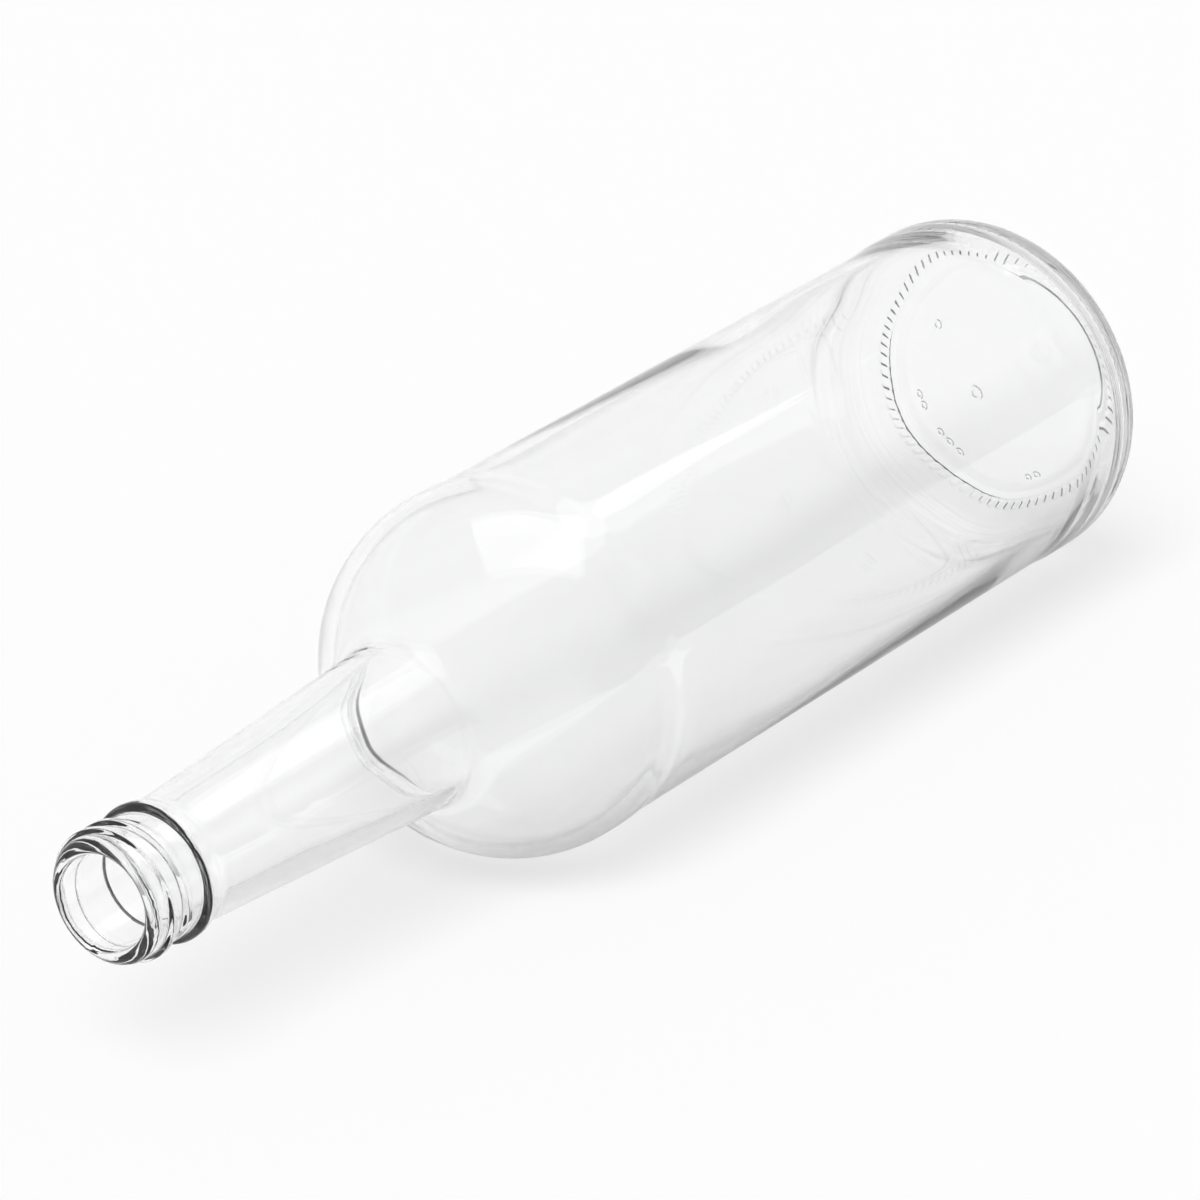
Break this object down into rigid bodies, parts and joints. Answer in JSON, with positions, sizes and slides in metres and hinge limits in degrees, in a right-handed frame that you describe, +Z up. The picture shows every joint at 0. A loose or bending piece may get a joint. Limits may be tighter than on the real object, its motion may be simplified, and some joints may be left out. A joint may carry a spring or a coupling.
{
  "type": "glass bottle",
  "caption": "Empty clear-glass bottle with a round shoulder, a straight tapered neck and a short open screw finish, lying on its side.",
  "frame": {"origin": "on the ground below the middle of the lying bottle", "axes": "+X along the bottle towards its base, -X towards its mouth, +Z up from the ground that it lies on"},
  "size_m": [0.301, 0.076, 0.0758],
  "materials": {
    "flint_glass": "clear colourless moulded glass, fire-polished"
  },
  "bodies": {
    "root": {"glass_bottle": "flint_glass"}
  },
  "joints": []
}
